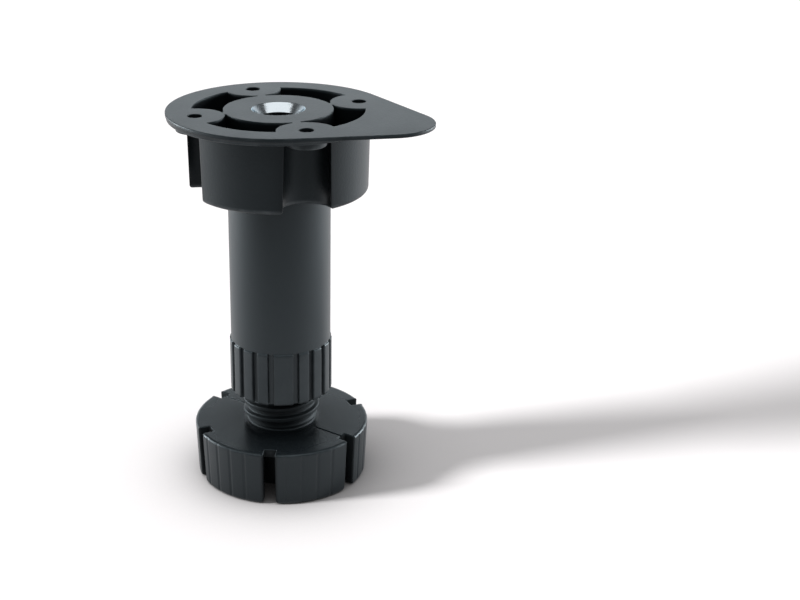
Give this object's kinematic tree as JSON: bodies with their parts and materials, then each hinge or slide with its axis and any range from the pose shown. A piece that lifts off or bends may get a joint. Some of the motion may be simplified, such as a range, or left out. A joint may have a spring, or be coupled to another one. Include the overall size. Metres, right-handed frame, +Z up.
{
  "type": "adjustable cabinet leg",
  "caption": "Moulded cabinet leg: a teardrop screw-on plate with a socket, a ribbed tube that turns in it, and a slotted foot on a coarse screw stem that sets the height.",
  "frame": {"origin": "centre of the mounting face, on the leg's axis", "axes": "+Z up out of the mounting face along the leg's axis, +X towards the tip of the teardrop plate"},
  "size_m": [0.0792, 0.0644, 0.1141],
  "materials": {
    "plate_plastic": "fine-grained matte moulded plastic, charcoal black",
    "tube_plastic": "smooth satin moulded plastic, charcoal black",
    "foot_plastic": "matte moulded plastic, charcoal black"
  },
  "bodies": {
    "plate": {"mounting_plate": "plate_plastic"},
    "tube": {"leg_tube": "tube_plastic"},
    "foot": {"adjusting_foot": "foot_plastic"}
  },
  "joints": [
    {"name": "tube_turn", "type": "hinge", "parent": "plate", "child": "tube", "pos_m": [0, 0, 0], "axis": [0, 0, 1], "range_deg": [-1080, 2160]},
    {"name": "foot_travel", "type": "slide", "parent": "plate", "child": "foot", "axis": [0, 0, -1], "range_m": [-0.0105, 0.021]}
  ],
  "couplings": [
    {"joint": "foot_travel", "follows": "tube_turn", "m_per_rad": 0.00055704}
  ]
}
